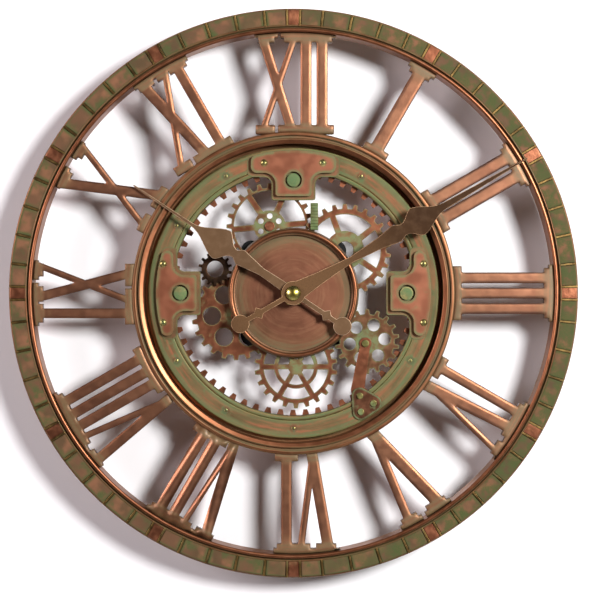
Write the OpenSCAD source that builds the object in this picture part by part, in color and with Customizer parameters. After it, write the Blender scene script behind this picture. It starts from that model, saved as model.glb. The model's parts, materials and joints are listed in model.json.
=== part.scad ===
// Skeleton wall clock: a pierced copper frame with Roman numerals, decorative gears,
// and a battery quartz movement behind a recessed centre dish.
// Millimetres. The hand axis is the Y axis, the wall is y = 0, and the face looks along -Y.
// Depths below are distances from the wall, so a depth of 20 lies at y = -20.

/* [Outer rim] */
// Radius of the whole clock
rim_r = 150; // [148:1:156]
// Radius of the opening inside the rim
rim_inner_r = 137.4; // [136:0.2:139]
// Depth of the back of the rim
rim_back = 14; // [10:0.5:16]
// Depth of the top of the polished bead
bead_front = 27; // [26:0.2:28]
// Number of minute divisions round the rim
divisions = 60; // [60]

/* [Numerals] */
// Depth of the back of the numerals
numeral_back = 19.2; // [18:0.2:21]
// Depth of the face of the numerals
numeral_front = 25.2; // [23:0.2:26]
// Width of the thin strokes
thin_stroke = 3.6; // [2.8:0.1:4.2]

/* [Inner bezel] */
// Outer radius of the inner bezel
bezel_r = 84.9; // [84:0.1:86]
// Inner radius of the inner bezel
bezel_inner_r = 78.4; // [77.8:0.1:79]
// Depth of the top of the inner bezel
bezel_front = 26.2; // [25:0.1:26.6]

/* [Ring plate] */
// Outer radius of the green ring plate
ring_r = 76.1; // [75:0.1:77]
// Inner radius of the green ring plate
ring_inner_r = 65.6; // [65:0.1:66.4]
// Number of teeth in the internal ring gear
ring_teeth = 60; // [40:1:72]
// Radius of the tips of the internal teeth
ring_tip_r = 61.9; // [61:0.1:63]

/* [Brackets] */
// Length of the crossbar of a bracket
bracket_w = 45; // [40:1:48]
// Width of the stem of a bracket
stem_w = 19; // [16:0.5:22]
// Distance of the end of the stem from the centre
stem_end = 51.2; // [49:0.2:54]

/* [Centre dish] */
// Radius of the centre dish
dish_r = 34; // [33:0.5:35]
// Width of the rounded lip round the dish
dish_lip = 2.4; // [2:0.1:3]

/* [Hands] */
// Length of the minute hand from the axis
minute_len = 142; // [120:1:145]
// Length of the hour hand from the axis
hour_len = 101.6; // [90:1:108]
// Clock angle of the minute hand at rest
minute_angle = 60; // [0:1:359]
// Clock angle of the hour hand at rest
hour_angle = 304; // [0:1:359]
// Thickness of a hand
hand_t = 0.8; // [0.6:0.1:1]

/* [Movement] */
// Width and height of the movement case
case_w = 56; // [56:0.5:58]
// Depth of the front of the movement case
case_front = 16; // [16]
// Wall thickness of the case
case_wall = 1.2; // [1:0.1:1.4]
// Radius of the upright corners of the case
case_corner_r = 5.5; // [3:0.5:5.5]
// Diameter of the battery cell
cell_d = 14.2; // [13.8:0.1:14.4]
// Length of the battery cell body
cell_len = 48.8; // [48:0.1:49]

/* [Hidden] */
$fn = 96;

// Rim bands
tile_inner_r = 141.1;
bead_outer_r = 140.3;
rim_floor = 22.6;
groove_front = 24.2;
groove_outer_r = 140.95;
tile_front = 24.6;
ridge_front = 25.2;
division_step = 360 / divisions;
ridge_angle = 0.42;
marker_angle = 2.7;
ridge_step = 0.4;

// Numeral rows: the radii at which the stroke positions below are given
outer_row_r = 128.2;
inner_row_r = 89.9;
foot_r = 88.8;
serif_r = 132.2;
serif_step_r = 134.6;

// Layers of the middle of the clock, as depths
back_layer = 16.4;
mid_layer = 18.1;
front_layer = 19.8;
ring_front = 20.7;
base_front = 21.5;
bracket_front = 23.9;
flange_inner_r = 73.5;
ring_shank_r = 0.7;
bracket_shank_r = 0.9;
ring_root_r = 65.3;
ring_screw_r = 71.5;
bracket_outer_r = 75.4;
side_bracket_outer_r = 72.6;
shoulder = 63.5;
fillet_r = 6;
base_border = 2.1;
bracket_corner_r = 3.2;
boss_hole_r = 4.4;
boss_head_r = 3.5;
boss_shank_r = 2.2;
bracket_screw_x = 15.5;
bracket_screw_z = 68.8;
boss_z = 59.8;

// Decorative wheels: centre x, centre z, tip radius
gear_a = [27.2, 22.8, 24.6];
gear_b = [-12.6, 35.5, 23];
gear_c = [-30.5, -12.1, 23.5];
gear_c2 = [-41.5, 12.8, 9];
gear_d = [39, -25.6, 17.2];
gear_e = [1.3, -39, 22];
tooth_h = 2.6;

// Lever and lug
lever_pivot = [38.1, -26.6];
lug_rivets = [[35.1, -54.2], [42.3, -58.2], [35.6, -62.7]];
lever_back = front_layer;
lever_front = ring_front;
lug_front = 22.4;
lug_rivet_back = 20;
lug_rivet_r = 0.9;

// Dish and its fixing
dish_floor_front = 21.3;
dish_floor_r = 30.8;
dish_wall_front = 22.6;
dish_lip_front = 25.2;
dish_bore_r = 4.2;
washer_r = 8.6;
nut_r = 6.9;
nut_front = 23.6;
bushing_r = 3.9;
bushing_front = 25.4;
bushing_bore_r = 2.58;

// Hands, as depths
hour_back = 27.2;
minute_back = 29.6;
hub_r = 6.3;
nut_back = minute_back + hand_t;
cap_r = 3.9;
cap_h = 3;

// Movement train: x and z of each arbor
third_at = [-6.4, 6.4];
seconds_at = [-13.6, 8.4];
intermediate_at = [-12.1, 14.2];
rotor_at = [-7.1, 14.8];
minute_at = [9.4, -2];
fit = 0.05;
pipe_r = 2.5;
pipe_bore_r = 1.58;
arbor_r = 1.5;
thin_arbor_r = 0.5;
case_half = case_w / 2;
inside_half = case_half - case_wall;
case_inside = case_front - case_wall;
bay_top = -9.6;
cell_z = -18;
bay_wall = 1;
cell_depth = 7.6;
knob_r = 4.5;
pocket_r = 5.2;
cell_end_gap = 0.6;

// Hanger
hanger_back = 13;
hanger_t = 1.4;
hanger_z = 71;
keyhole_r = 4;
keyhole_slot_r = 2;

// Helpers -----------------------------------------------------------------------------

// Stands a flat outline, drawn as (x, height), up between two depths.
module plate(back, front) {
    rotate([90, 0, 0]) translate([0, 0, back]) linear_extrude(front - back) children();
}

// A solid of revolution about the hand axis, from a profile drawn as (radius, depth).
module turned() {
    rotate([90, 0, 0]) rotate_extrude() children();
}

// A ring of rectangular section.
module band(inner, outer, back, front) {
    turned() translate([inner, back]) square([outer - inner, front - back]);
}

// Part of a ring, between two clock angles.
module sector(inner, outer, back, front, from, span) {
    rotate([0, from - 90 + span, 0]) rotate([90, 0, 0]) rotate_extrude(angle = span)
        translate([inner, back]) square([outer - inner, front - back]);
}

// Turns a shape to a clock angle, clockwise from the top.
module at_clock(angle) {
    rotate([0, angle, 0]) children();
}

// A round pin or disc on an axis through (at.x, at.z), between two depths.
module pin(at, r, back, front) {
    translate([at[0], 0, at[1]]) rotate([90, 0, 0]) translate([0, 0, back])
        cylinder(r = r, h = front - back);
}

// A toothed wheel outline with flat-topped teeth.
module gear_outline(teeth, tip, root, turn = 0) {
    step = 360 / teeth;
    polygon([for (i = [0 : teeth - 1]) for (corner = [[-0.27, root], [-0.16, tip], [0.16, tip], [0.27, root]])
        let (angle = turn + (i + corner[0]) * step) corner[1] * [sin(angle), cos(angle)]]);
}

// Openings between spokes: one window of an even set, with straight-sided spokes.
module spoke_windows(count, inner, outer, spoke_w, turn = 0) {
    difference() {
        circle(outer);
        circle(inner);
        for (i = [0 : count - 1])
            rotate(-turn - i * 360 / count) translate([-spoke_w / 2, 0]) square([spoke_w, outer + 1]);
    }
}

// A ring of round holes.
module hole_ring(count, ring, r, turn = 0) {
    for (i = [0 : count - 1])
        rotate(-turn - i * 360 / count) translate([0, ring]) circle(r, $fn = 32);
}

// Outer rim ---------------------------------------------------------------------------

module outer_rim() {
    color("#a5694f") {
        band(rim_inner_r, rim_r - ridge_step, rim_back, rim_floor);
        band(rim_inner_r + 0.1, bead_outer_r, rim_floor, bead_front - 1.4);
        band(bead_outer_r, groove_outer_r, rim_floor, groove_front);
        turned() translate([(rim_inner_r + bead_outer_r) / 2 + 0.05, bead_front - 1.4]) circle(1.35);
    }
}

// Clock angles of the middles of the ridges: one at each minute, two beside each hour.
function ridge_angles() = [for (i = [0 : divisions - 1])
    each i % 5 == 0 ? [i * division_step - marker_angle / 2, i * division_step + marker_angle / 2]
                    : [i * division_step]];

module rim_tiles() {
    angles = ridge_angles();
    color("#7d7a4f") for (i = [0 : len(angles) - 1]) {
        next = i == len(angles) - 1 ? angles[0] + 360 : angles[i + 1];
        if (next - angles[i] > marker_angle + 0.1)
            sector(tile_inner_r, rim_r - ridge_step, rim_floor, tile_front,
                angles[i] + ridge_angle / 2, next - angles[i] - ridge_angle);
    }
}

module rim_ridges() {
    color("#b49a50") for (angle = ridge_angles())
        sector(tile_inner_r, rim_r, rim_floor, ridge_front, angle - ridge_angle / 2, ridge_angle);
}

module hour_markers() {
    color("#8a4a30") for (i = [0 : 11])
        sector(tile_inner_r, rim_r - ridge_step, rim_floor, tile_front,
            i * 30 - marker_angle / 2 + ridge_angle / 2, marker_angle - ridge_angle);
}

// Numerals ----------------------------------------------------------------------------

// A straight stroke through x = outer_x on the outer row and x = inner_x on the inner row.
module stroke(outer_x, inner_x, width) {
    slope = (outer_x - inner_x) / (outer_row_r - inner_row_r);
    top_x = outer_x + slope * (rim_inner_r - outer_row_r);
    foot_x = inner_x - slope * (inner_row_r - bezel_r + 1);
    plate(numeral_back, numeral_front) polygon([
        [top_x - width / 2, rim_inner_r], [top_x + width / 2, rim_inner_r],
        [foot_x + width / 2, bezel_r - 1], [foot_x - width / 2, bezel_r - 1]]);
}

// A flat block of a numeral, from one corner to the other.
module block(left, right, bottom, top) {
    plate(numeral_back, numeral_front) translate([left, bottom]) square([right - left, top - bottom]);
}

// A two-step serif on the rim, over a stroke from x = left to x = right.
module top_serif(left, right) {
    block(left - 2.4, right + 2.4, serif_r, rim_inner_r);
    block(left - 4.2, right + 4.2, serif_step_r, rim_inner_r);
}

// A plain foot on the bezel.
module foot_serif(left, right) {
    block(left - 3.4, right + 3.4, bezel_r - 1, foot_r);
}

// The upright bars of a numeral.
module bars(places, width) {
    for (x = places) stroke(x, x, width);
    top_serif(places[0] - width / 2, places[len(places) - 1] + width / 2);
    foot_serif(places[0] - width / 2, places[len(places) - 1] + width / 2);
}

// A V with its thick stroke on the left and its point on the bezel.
module letter_v(thick_x, thin_x, apex_x, thick, thin, apex_w) {
    stroke(thick_x, apex_x - (apex_w - thick) / 2, thick);
    stroke(thin_x, apex_x + (apex_w - thin) / 2, thin);
    top_serif(thick_x - thick / 2, thick_x + thick / 2);
    top_serif(thin_x - thin / 2, thin_x + thin / 2);
}

// An X, thick from the outer left to the inner right.
module letter_x(thick_out, thick_in, thin_out, thin_in, thick) {
    stroke(thick_out, thick_in, thick);
    stroke(thin_out, thin_in, thin_stroke);
    for (side = [[thick_out, thick], [thin_out, thin_stroke]])
        top_serif(side[0] - side[1] / 2 + 0.8, side[0] + side[1] / 2 - 0.8);
    for (side = [[thick_in, thick], [thin_in, thin_stroke]])
        foot_serif(side[0] - side[1] / 2, side[0] + side[1] / 2);
}

// Cuts a numeral to the ring between bezel and rim, and turns it to its hour.
module numeral(hour) {
    color("#a5694f") at_clock(hour * 30) difference() {
        intersection() {
            union() children();
            band(0, rim_inner_r, numeral_back, numeral_front);
        }
        band(0, bezel_r, numeral_back - 1, numeral_front + 1);
    }
}

module numeral_1() { numeral(1) bars([0], 7.4); }
module numeral_2() { numeral(2) bars([-5.5, 5.5], 6.6); }
module numeral_3() { numeral(3) bars([-8.1, 0, 8.1], 5.7); }
module numeral_4() {
    numeral(4) union() {
        bars([-4.6], 5.2);
        letter_v(4.6, 17.1, 6.4, 6, 3.4, 5.4);
    }
}
module numeral_5() { numeral(5) letter_v(-9.7, 6.4, 0, 7, 4.7, 7.5); }
module numeral_6() {
    numeral(6) union() {
        letter_v(-17.3, -4.7, -10.7, 6, thin_stroke, 5.8);
        bars([3.7], 5.6);
    }
}
module numeral_7() {
    numeral(7) union() {
        letter_v(-22.5, -10.6, -13.7, 5.8, 3.2, 6);
        bars([-3.5, 4.1], 5.8);
    }
}
module numeral_8() {
    numeral(8) union() {
        letter_v(-23.5, -10.9, -16.4, 5.6, 3.4, 5.6);
        bars([-4.3, 2.9, 10.6], 5.4);
    }
}
module numeral_9() {
    numeral(9) union() {
        bars([-10.6], 5.2);
        letter_x(-0.4, 9.6, 12.2, -2.7, 5.1);
    }
}
module numeral_10() { numeral(10) letter_x(-8, 8.2, 8.5, -7.3, 5.8); }
module numeral_11() {
    numeral(11) union() {
        letter_x(-12.6, -3.9, -2.9, -17, 6);
        bars([6.4], 5.6);
    }
}
module numeral_12() {
    numeral(12) union() {
        letter_x(-14.2, -2.1, -1.7, -14.8, 5.4);
        bars([6.6, 15.1], 5.9);
    }
}

// Bezel, ring plate and internal gear -------------------------------------------------

module inner_bezel() {
    bead_r = 1.5;
    color("#a5694f") {
        band(flange_inner_r, bezel_r, back_layer, mid_layer);
        band(bezel_inner_r, bezel_r, mid_layer, bezel_front - bead_r);
        turned() translate([bezel_inner_r + bead_r, bezel_front - bead_r]) circle(bead_r);
        turned() translate([bezel_r - 0.7, bezel_front - 1.2]) circle(0.7);
    }
}

module ring_plate() {
    lip_r = 66.6;
    channel_r = 67.8;
    color("#8b9a68") difference() {
        union() {
            band(channel_r, ring_r, mid_layer, ring_front);
            band(lip_r, channel_r, mid_layer, ring_front - 0.6);
            band(ring_inner_r, lip_r, mid_layer, ring_front - 0.1);
        }
        for (a = ring_screw_angles()) at_clock(a)
            pin([0, ring_screw_r], ring_shank_r, mid_layer - 1, ring_front + 1);
    }
}

function ring_screw_angles() = [for (i = [1 : 11]) if (i != 3 && i != 5 && i != 9) i * 30];

module internal_ring_gear() {
    color("#6f6a45") plate(back_layer, mid_layer) difference() {
        circle(flange_inner_r, $fn = 180);
        polygon([for (i = [0 : ring_teeth - 1])
            for (corner = [[-0.25, ring_root_r], [-0.12, ring_tip_r], [0.2, ring_tip_r], [0.33, ring_root_r]])
            let (angle = (i + corner[0]) * 360 / ring_teeth) corner[1] * [sin(angle), cos(angle)]]);
        for (a = ring_screw_angles()) rotate(-a) translate([0, ring_screw_r]) circle(ring_shank_r, $fn = 32);
    }
}

// Brackets ----------------------------------------------------------------------------

// A rectangle with round corners.
module rounded_box(left, right, bottom, top, r) {
    translate([left + r, bottom]) square([right - left - 2 * r, top - bottom]);
    translate([left, bottom + r]) square([right - left, top - bottom - 2 * r]);
    for (x = [left + r, right - r]) for (y = [bottom + r, top - r]) translate([x, y]) circle(r, $fn = 32);
}

// The T outline of a bracket, pointing up, larger all round by grow.
module bracket_outline(grow, outer_r) {
    half = bracket_w / 2 + grow;
    stem = stem_w / 2 + grow;
    corner = fillet_r - grow;
    crown = half - bracket_corner_r;
    crown_edge = sqrt(outer_r * outer_r - crown * crown);
    rounded_box(-half, half, shoulder - grow, crown_edge, bracket_corner_r);
    rounded_box(-stem, stem, stem_end - grow, shoulder + 5, 1.4);
    intersection() {
        circle(outer_r, $fn = 180);
        translate([-crown, shoulder]) square([2 * crown, 20]);
    }
    for (side = [-1, 1]) difference() {
        translate([side * (stem + corner / 2) - corner / 2, shoulder - grow - corner])
            square([corner, corner + 1]);
        translate([side * (stem + corner), shoulder - grow - corner]) circle(corner);
    }
}

// The top bracket reaches further out than the two at the sides.
function bracket_edge(angle) = angle == 0 ? bracket_outer_r : side_bracket_outer_r;

module bracket(angle) {
    color("#a5694f") difference() {
        at_clock(angle) plate(base_front, bracket_front) bracket_outline(0, bracket_edge(angle));
        at_clock(angle) for (side = [-1, 1])
            pin([side * bracket_screw_x, bracket_screw_z], bracket_shank_r, base_front - 1, bracket_front + 1);
        at_clock(angle) pin([0, boss_z], boss_hole_r, base_front - 1, bracket_front + 1);
    }
}

module bracket_top() { bracket(0); }
module bracket_left() { bracket(270); }
module bracket_right() { bracket(90); }

module bracket_bases() {
    color("#8b9a68") for (angle = [0, 90, 270]) difference() {
        at_clock(angle) plate(ring_front, base_front)
            bracket_outline(base_border, bracket_edge(angle) + 0.5);
        at_clock(angle) for (side = [-1, 1])
            pin([side * bracket_screw_x, bracket_screw_z], bracket_shank_r, ring_front - 1, base_front + 1);
        at_clock(angle) pin([0, boss_z], boss_shank_r, ring_front - 1, base_front + 1);
    }
}

// A rivet in the base, whose low round head sits in the well of the bracket.
module bracket_bosses() {
    color("#8fb085") for (angle = [0, 90, 270]) at_clock(angle) {
        pin([0, boss_z], boss_shank_r, ring_front, base_front);
        pin([0, boss_z], boss_head_r, base_front, bracket_front - 1);
        translate([0, 0, boss_z]) turned() intersection() {
            translate([0, bracket_front - 0.3 - 9]) circle(9);
            translate([0, bracket_front - 1]) square([boss_head_r, 2]);
        }
    }
}

// A slotted round-head screw whose head rests at a depth.
module slotted_screw(at, head_r, head_back, shank_r, shank_len, slot_turn) {
    head_h = head_r * 0.5;
    difference() {
        union() {
            pin(at, shank_r, head_back - shank_len, head_back);
            translate([at[0], 0, at[1]]) turned() intersection() {
                translate([0, head_back + head_h - 1.25 * head_r]) circle(1.25 * head_r);
                translate([0, head_back]) square([head_r, head_h + 0.1]);
            }
        }
        translate([at[0], -head_back - head_h, at[1]]) rotate([0, slot_turn, 0])
            cube([3 * head_r, head_h, 0.25 * head_r], center = true);
    }
}

module bracket_screws() {
    color("#c9c39a") for (angle = [0, 90, 270]) for (side = [-1, 1]) at_clock(angle)
        slotted_screw([side * bracket_screw_x, bracket_screw_z], 1.9, bracket_front, bracket_shank_r,
            bracket_front - ring_front, side * 35);
}

module ring_screws() {
    color("#7fb08a") for (a = ring_screw_angles()) at_clock(a)
        slotted_screw([0, ring_screw_r], 1.7, ring_front, ring_shank_r, 4.1, a * 1.7);
}

// Decorative wheels -------------------------------------------------------------------

// Places a wheel outline at its centre, between two depths.
module wheel(at, back, front) {
    translate([at[0], 0, at[1]]) plate(back, front) children();
}

module gear_upper_right() {
    color("#6b5a4a") wheel(gear_a, mid_layer, front_layer) difference() {
        gear_outline(26, gear_a[2], gear_a[2] - tooth_h);
        spoke_windows(5, 10.2, 19, 3.2, -20);
        circle(4.6);
    }
}

module gear_upper_left() {
    color("#8b6b50") wheel(gear_b, back_layer, mid_layer) difference() {
        gear_outline(24, gear_b[2], gear_b[2] - tooth_h);
        spoke_windows(6, 8.5, 19, 3.2, 25);
        hole_ring(6, 5.5, 1.5);
        circle(1.3);
    }
}

module gear_left() {
    color("#4a4540") wheel(gear_c, back_layer, mid_layer) difference() {
        gear_outline(22, gear_c[2], gear_c[2] - tooth_h);
        hole_ring(6, 12.8, 4.7, 30);
        circle(1.3);
    }
}

module gear_left_small() {
    color("#4a4540") wheel(gear_c2, mid_layer, front_layer) difference() {
        gear_outline(14, gear_c2[2], gear_c2[2] - 1.8);
        circle(4.4);
    }
}

module gear_lower_right() {
    color("#7a6a4a") wheel(gear_d, mid_layer, front_layer) difference() {
        gear_outline(18, gear_d[2], gear_d[2] - tooth_h);
        hole_ring(6, 9.3, 3.2, 22);
        circle(1.3);
    }
}

module wheel_bottom() {
    color("#8a5a40") wheel(gear_e, mid_layer, front_layer) difference() {
        gear_outline(22, gear_e[2], gear_e[2] - tooth_h);
        spoke_windows(6, 11.6, 17, 3, 30);
        spoke_windows(6, 4.2, 9.5, 2.6, 30);
    }
}

module gear_rivets() {
    color("#9a3c28") for (at = [gear_b, gear_c]) {
        pin(at, 1.3, back_layer, mid_layer);
        pin(at, 2.6, mid_layer, mid_layer + 1.2);
    }
}

module worm_strip() {
    strip_x = [9, 13];
    strip_z = [33.4, 47.7];
    color("#6f8f60") for (i = [0 : 8]) {
        z = strip_z[0] + (i + 0.5) * (strip_z[1] - strip_z[0]) / 9;
        translate([strip_x[0], -front_layer - 1.2, z]) rotate([0, 90, 0])
            cylinder(r = 0.85, h = strip_x[1] - strip_x[0], $fn = 24);
    }
    color("#6f8f60") translate([strip_x[0], -front_layer - 1.2, strip_z[0]])
        cube([strip_x[1] - strip_x[0], 1.2, strip_z[1] - strip_z[0]]);
}

// Lever and lug -----------------------------------------------------------------------

module lever_arm() {
    tip = [33.9, -51];
    color("#5d5340") difference() {
        union() {
            pin(lever_pivot, 3.2, lever_back, lever_front);
            plate(lever_back, lever_front) intersection() {
                polygon([
                    lever_pivot + [-2.6, 0], lever_pivot + [2.6, 0],
                    tip + [3.6, 0], tip + [2.8, -4.5], tip + [-2.8, -4.5], tip + [-3.6, 0]]);
                circle(ring_inner_r - 0.1);
            }
        }
        pin(lug_rivets[0], lug_rivet_r, lever_back - 1, lever_front + 1);
    }
}

module lever_lug() {
    color("#8b8a60") difference() {
        plate(lever_front, lug_front) hull() for (p = lug_rivets) translate(p) circle(4.3);
        for (p = lug_rivets) pin(p, lug_rivet_r, lever_front - 1, lug_front + 1);
    }
}

module lever_rivets() {
    color("#9a4a30") {
        for (p = lug_rivets) {
            pin(p, lug_rivet_r, p[1] > -56 ? lug_rivet_back : lever_front, lug_front);
            pin(p, 1.7, lug_front, lug_front + 0.8);
        }
        pin(lever_pivot, 1.9, lever_front, lever_front + 1);
    }
}

// Centre dish -------------------------------------------------------------------------

module centre_dish() {
    color("#a9745c") difference() {
        union() {
            band(0, dish_r - dish_lip, front_layer, dish_floor_front);
            band(0, washer_r, case_front + 0.8, front_layer);
            turned() polygon([[dish_floor_r, dish_floor_front], [dish_r - dish_lip, dish_floor_front],
                [dish_r - dish_lip, dish_wall_front]]);
        }
        pin([0, 0], dish_bore_r, case_front, dish_floor_front + 1);
    }
}

module dish_bezel() {
    color("#8a5a44") {
        band(dish_r - dish_lip, dish_r, front_layer, dish_lip_front - dish_lip / 2);
        turned() translate([dish_r - dish_lip / 2, dish_lip_front - dish_lip / 2]) circle(dish_lip / 2);
    }
}

module rubber_washer() {
    color("#202020") band(dish_bore_r, washer_r, case_front, case_front + 0.8);
}

module mounting_nut() {
    color("#c2b25a") difference() {
        plate(dish_floor_front, nut_front) circle(nut_r, $fn = 6);
        pin([0, 0], bushing_r + fit, dish_floor_front - 1, nut_front + 1);
    }
}

// Movement case -----------------------------------------------------------------------

// Front bosses that carry the thin arbors: place and how far back each one reaches.
function arbor_bosses() = [[third_at, 11], [seconds_at, 11.4], [intermediate_at, 12], [rotor_at, 12]];

// A centred square with round corners.
module square_with_corners(half, r) {
    rounded_box(-half, half, -half, half, r);
}

module movement_front_case() {
    color("#1c1c1e") {
        difference() {
            plate(0, case_front) square_with_corners(case_half, case_corner_r);
            plate(-1, case_inside) square_with_corners(inside_half, case_corner_r - case_wall);
            pin([0, 0], bushing_bore_r, case_inside - 1, case_front + 1);
        }
        translate([-inside_half, -case_inside, bay_top - bay_wall])
            cube([2 * inside_half, case_inside - case_wall, bay_wall]);
        difference() {
            pin([0, 0], bushing_r, case_front, bushing_front);
            pin([0, 0], bushing_bore_r, case_front - 1, bushing_front + 1);
        }
        for (boss = arbor_bosses()) difference() {
            pin(boss[0], 1.1, boss[1], case_inside);
            pin(boss[0], thin_arbor_r + fit, boss[1] - 1, boss[1] + 1.2);
        }
    }
}

module movement_rear_cover() {
    color("#2a2a2c") difference() {
        union() {
            difference() {
                plate(0, case_wall) intersection() {
                    square_with_corners(inside_half, case_corner_r - case_wall);
                    translate([-inside_half, bay_top - bay_wall]) square(2 * inside_half);
                }
                pin(minute_at, pocket_r, -1, case_wall + 1);
            }
            difference() {
                pin(minute_at, pocket_r + 1, case_wall, 2.6);
                pin(minute_at, pocket_r, 0, 1.6);
            }
            pin([0, 0], 2.2, case_wall, 3.4);
            for (at = [third_at, seconds_at, intermediate_at, rotor_at]) pin(at, 1.1, case_wall, 2.2);
        }
        pin(minute_at, 1.2 + fit, 1, 4);
        pin([0, 0], 0.8 + fit, case_wall, 4);
        for (at = [third_at, seconds_at, intermediate_at, rotor_at])
            pin(at, thin_arbor_r + fit, case_wall, 3);
    }
}

module circuit_board() {
    color("#2f6b3c") translate([-24, -14.6, 18.9]) cube([46, 1.2, 7.4]);
    color("#101010") translate([8, -13.4, 20.4]) cube([5, 1.4, 4.4]);
    color("#c8c8cc") translate([-16, -13.4, 21.4]) cube([8, 2.2, 2.4]);
}

module drive_coil() {
    color("#b5651d") translate([-2, -6.7, 22.8]) rotate([0, 90, 0]) difference() {
        cylinder(r = 2.6, h = 18);
        translate([0, 0, -1]) cylinder(r = 1.1, h = 20);
    }
}

// A laminated yoke: a ring round the rotor, two arms and the core through the coil.
module stator() {
    color("#9a9aa0") difference() {
        union() {
            pin(rotor_at, 3.9, 6.2, 7.2);
            translate([rotor_at[0], -7.2, 13]) cube([28, 1, 3.4]);
            translate([18.5, -7.2, 13]) cube([2.4, 1, 11]);
            translate([-7.1, -7.2, 16]) cube([2.8, 1, 8]);
            translate([-7.1, -7.2, 22]) cube([28, 1, 1.6]);
        }
        pin(rotor_at, 2.6, 5, 8);
    }
}

module battery_contacts() {
    color("#c8c8cc") for (side = [-1, 1])
        translate([side > 0 ? inside_half - 0.5 : -inside_half, -12.5, cell_z - 4]) cube([0.5, 10, 8]);
}

module battery_cell() {
    color("#a8823a") translate([-inside_half + 0.5 + cell_end_gap, -cell_depth, cell_z]) rotate([0, 90, 0]) {
        cylinder(r = cell_d / 2, h = cell_len);
        translate([0, 0, cell_len]) cylinder(r = 2.7, h = 1.4);
    }
}

// Movement train ----------------------------------------------------------------------
// The teeth stop just short of the pitch circle, so meshing wheels never overlap.

// A wheel or pinion of the train.
module train_gear(at, teeth, pitch_r, back, front) {
    translate([at[0], 0, at[1]]) plate(back, front)
        gear_outline(teeth, pitch_r - 0.05, pitch_r * (1 - 2.2 / teeth) - 0.05);
}

module rotor() {
    color("#55555c") pin(rotor_at, 2.1, 5.7, 7.7);
    color("#e8e8e0") {
        pin(rotor_at, thin_arbor_r, case_wall + 0.1, 13);
        train_gear(rotor_at, 8, 0.76, 9.6, 11);
    }
}

module intermediate_wheel() {
    color("#e8e8e0") {
        pin(intermediate_at, thin_arbor_r, case_wall + 0.1, 13);
        train_gear(intermediate_at, 48, 4.28, 10, 10.6);
        train_gear(intermediate_at, 10, 1, 2.9, 4.3);
    }
}

module seconds_wheel() {
    color("#e8e8e0") {
        pin(seconds_at, thin_arbor_r, case_wall + 0.1, 12.4);
        train_gear(seconds_at, 50, 4.99, 3.2, 3.9);
        train_gear(seconds_at, 8, 0.88, 7.6, 9.1);
    }
}

module third_wheel() {
    color("#e8e8e0") {
        pin(third_at, thin_arbor_r, case_wall + 0.1, 12);
        train_gear(third_at, 60, 6.6, 8, 8.7);
        train_gear(third_at, 8, 1.02, 4.6, 6.2);
    }
}

module centre_wheel() {
    color("#e8e8e0") {
        pin([0, 0], 0.8, case_wall + 0.1, 3.6);
        pin([0, 0], arbor_r, 3.6, minute_back + hand_t + 1.6);
        train_gear([0, 0], 64, 8.02, 5, 5.8);
        train_gear([0, 0], 12, 2.4, 10.4, 11.8);
    }
}

module minute_wheel() {
    color("#e8e8e0") {
        pin(minute_at, 1.2, 1.6, 14.4);
        train_gear(minute_at, 36, 7.2, 10.6, 11.4);
        train_gear(minute_at, 10, 1.92, 12.7, 14.2);
    }
}

module hour_wheel() {
    color("#e8e8e0") difference() {
        union() {
            pin([0, 0], pipe_r, 12.6, hour_back + hand_t);
            train_gear([0, 0], 40, 7.68, 13, 13.8);
        }
        pin([0, 0], pipe_bore_r, 12, hour_back + 2);
    }
}

module setting_knob() {
    color("#e0e0e0") difference() {
        pin(minute_at, knob_r, 0.3, 1.5);
        for (i = [0 : 11]) translate([minute_at[0], 0, minute_at[1]]) at_clock(i * 30)
            pin([0, knob_r + 0.3], 0.7, 0, 2);
    }
}

// Hands -------------------------------------------------------------------------------

// The spade outline shared by both hands, pointing up from the axis.
// Each point is a half-width and a place along the hand. root: points of the blade by the hub;
// waist: where the blade is narrow; collar, knuckle, neck and spade: further out in that order;
// flare: where the spade has drawn in to the needle.
module hand_outline(length, root, waist, collar, knuckle, neck, spade, flare, tail_end) {
    side = concat([
        [1.3, 4 - tail_end],
        [1.3, -23.1],
        [3.4, -21],
        [1.3, -18.9],
        [1.3, -6]],
        root,
        [waist, collar, knuckle, neck],
        [for (t = [10 : 20 : 170]) [
            neck[0] + (spade[0] - neck[0]) * (1 - cos(t)) / 2,
            neck[1] + (spade[1] - neck[1]) * (t / 180) ^ 0.8]],
        [for (t = [0 : 0.125 : 1]) [
            spade[0] + (flare[0] - spade[0]) * (1 - cos(180 * t ^ 0.85)) / 2,
            spade[1] + (flare[1] - spade[1]) * t]]);
    polygon(concat([for (p = side) p], [[0.35, length], [-0.35, length]],
        [for (i = [len(side) - 1 : -1 : 0]) [-side[i][0], side[i][1]]]));
    circle(hub_r);
    translate([0, -tail_end]) circle(4.8);
}

module hour_hand() {
    color("#7d6446") difference() {
        at_clock(hour_angle) plate(hour_back, hour_back + hand_t)
            hand_outline(hour_len, [[2.6, 5]],
                [2.1, 20], [3.2, 27], [4.4, 33.9], [2.3, 37], [8.6, 45.8], [0.9, 65], 31.1);
        pin([0, 0], pipe_r, hour_back - 1, hour_back + 2);
    }
}

module minute_hand() {
    color("#55412a") difference() {
        at_clock(minute_angle) plate(minute_back, minute_back + hand_t)
            hand_outline(minute_len, [[5, 3], [3.5, 14], [2.4, 25]],
                [1.6, 35.5], [3.1, 53], [4.9, 62.4], [3.2, 66.4], [7.9, 75.2], [1.8, 92], 32.3);
        pin([0, 0], arbor_r, minute_back - 1, minute_back + 2);
    }
}

module hand_nut() {
    color("#beb446") difference() {
        union() {
            pin([0, 0], cap_r, nut_back, nut_back + 1.4);
            turned() intersection() {
                translate([0, nut_back + cap_h - 5.6]) circle(5.6);
                translate([0, nut_back + 1.4]) square([cap_r, cap_h]);
            }
        }
        pin([0, 0], arbor_r, nut_back - 1, nut_back + 1.6);
    }
}

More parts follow.
